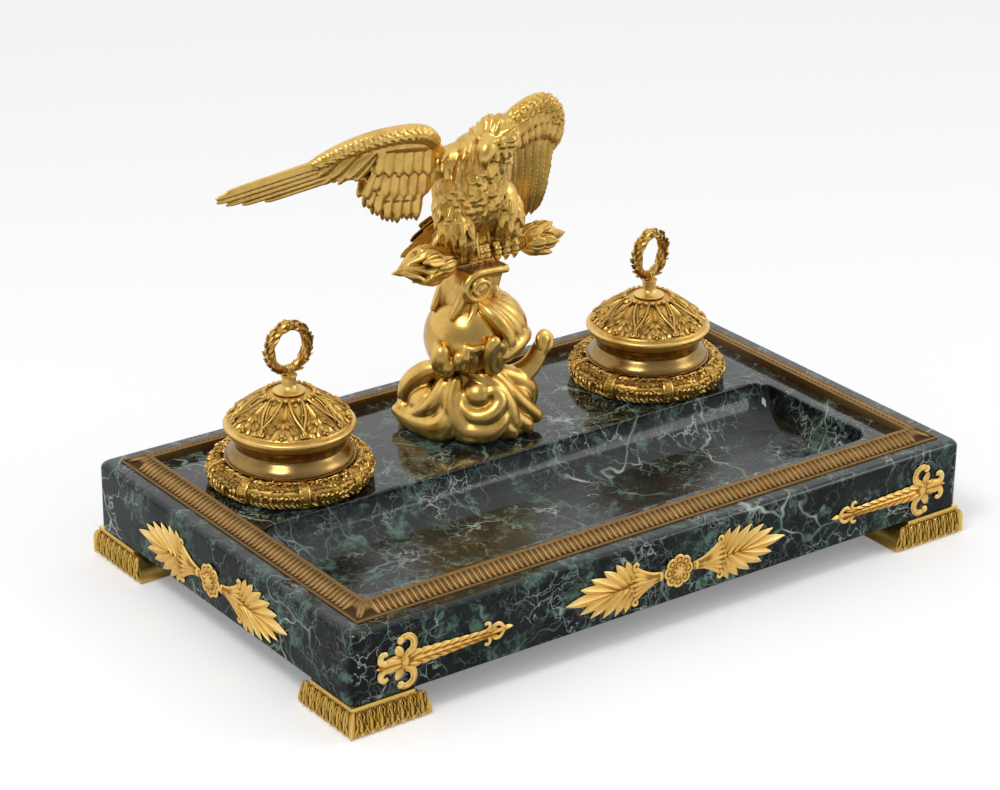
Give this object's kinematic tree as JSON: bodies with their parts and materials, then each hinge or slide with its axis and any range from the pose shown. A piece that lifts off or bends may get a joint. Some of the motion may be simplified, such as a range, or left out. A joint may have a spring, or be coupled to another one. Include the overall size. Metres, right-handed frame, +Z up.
{
  "type": "desk inkstand",
  "caption": "Dark green marble desk inkstand with gilt feet, border and mounts, a pen tray, lidded inkwells with laurel ring handles, and an eagle on a thunderbolt over a globe and clouds.",
  "frame": {"origin": "centre of the footprint of the four feet, on the desk", "axes": "+X along the slab's long side, to the right seen from the pen tray; +Y to the back; +Z up"},
  "size_m": [0.416, 0.258, 0.2427],
  "materials": {
    "marble": "polished dark green marble with pale green and white veins",
    "rail_gilt": "aged satin gilding",
    "drum_brass": "burnished, darkened gilding",
    "cup_glass": "clear pressed glass",
    "fastener_brass": "turned, dull",
    "mount_gilt": "matte bright gilding",
    "statue_gilt": "satin gilt bronze with burnished high spots",
    "well_gilt": "gilt bronze with dark recesses"
  },
  "bodies": {
    "stand": {"marble_slab": "marble", "rail_front": "rail_gilt", "rail_back": "rail_gilt", "rail_left": "rail_gilt", "rail_right": "rail_gilt", "rail_pins": "fastener_brass", "foot_front_left": "well_gilt", "foot_front_right": "well_gilt", "foot_back_left": "well_gilt", "foot_back_right": "well_gilt", "foot_screws": "fastener_brass", "left_wreath_ring": "well_gilt", "right_wreath_ring": "well_gilt", "left_drum": "drum_brass", "right_drum": "drum_brass", "well_bolts": "fastener_brass", "cloud_base": "statue_gilt", "globe": "statue_gilt", "volute_cap": "statue_gilt", "tie_rod": "fastener_brass", "tie_nut": "fastener_brass", "thunderbolt_shaft": "statue_gilt", "left_flame": "statue_gilt", "right_flame": "statue_gilt", "eagle_body": "statue_gilt", "eagle_right_wing": "statue_gilt", "eagle_left_wing": "statue_gilt", "eagle_tail": "statue_gilt", "wing_screws": "fastener_brass", "front_left_palmette": "mount_gilt", "front_right_palmette": "mount_gilt", "front_rosette": "mount_gilt", "left_front_palmette": "mount_gilt", "left_back_palmette": "mount_gilt", "left_rosette": "mount_gilt", "right_front_palmette": "mount_gilt", "right_back_palmette": "mount_gilt", "right_rosette": "mount_gilt", "front_left_torch": "mount_gilt", "front_right_torch": "mount_gilt", "mount_pins": "mount_gilt"},
    "left_cup": {"left_ink_cup": "cup_glass"},
    "left_lid": {"left_lid": "well_gilt", "left_lid_stem": "well_gilt", "left_laurel_ring": "well_gilt", "left_lid_nut": "fastener_brass"},
    "right_cup": {"right_ink_cup": "cup_glass"},
    "right_lid": {"right_lid": "well_gilt", "right_lid_stem": "well_gilt", "right_laurel_ring": "well_gilt", "right_lid_nut": "fastener_brass"}
  },
  "joints": [
    {"name": "left_cup_lift", "type": "slide", "parent": "stand", "child": "left_cup", "axis": [0, 0, 1], "range_m": [0, 0.03]},
    {"name": "left_lid_lift", "type": "slide", "parent": "left_cup", "child": "left_lid", "axis": [0, 0, 1], "range_m": [0, 0.028]},
    {"name": "right_cup_lift", "type": "slide", "parent": "stand", "child": "right_cup", "axis": [0, 0, 1], "range_m": [0, 0.03]},
    {"name": "right_lid_lift", "type": "slide", "parent": "right_cup", "child": "right_lid", "axis": [0, 0, 1], "range_m": [0, 0.028]}
  ]
}
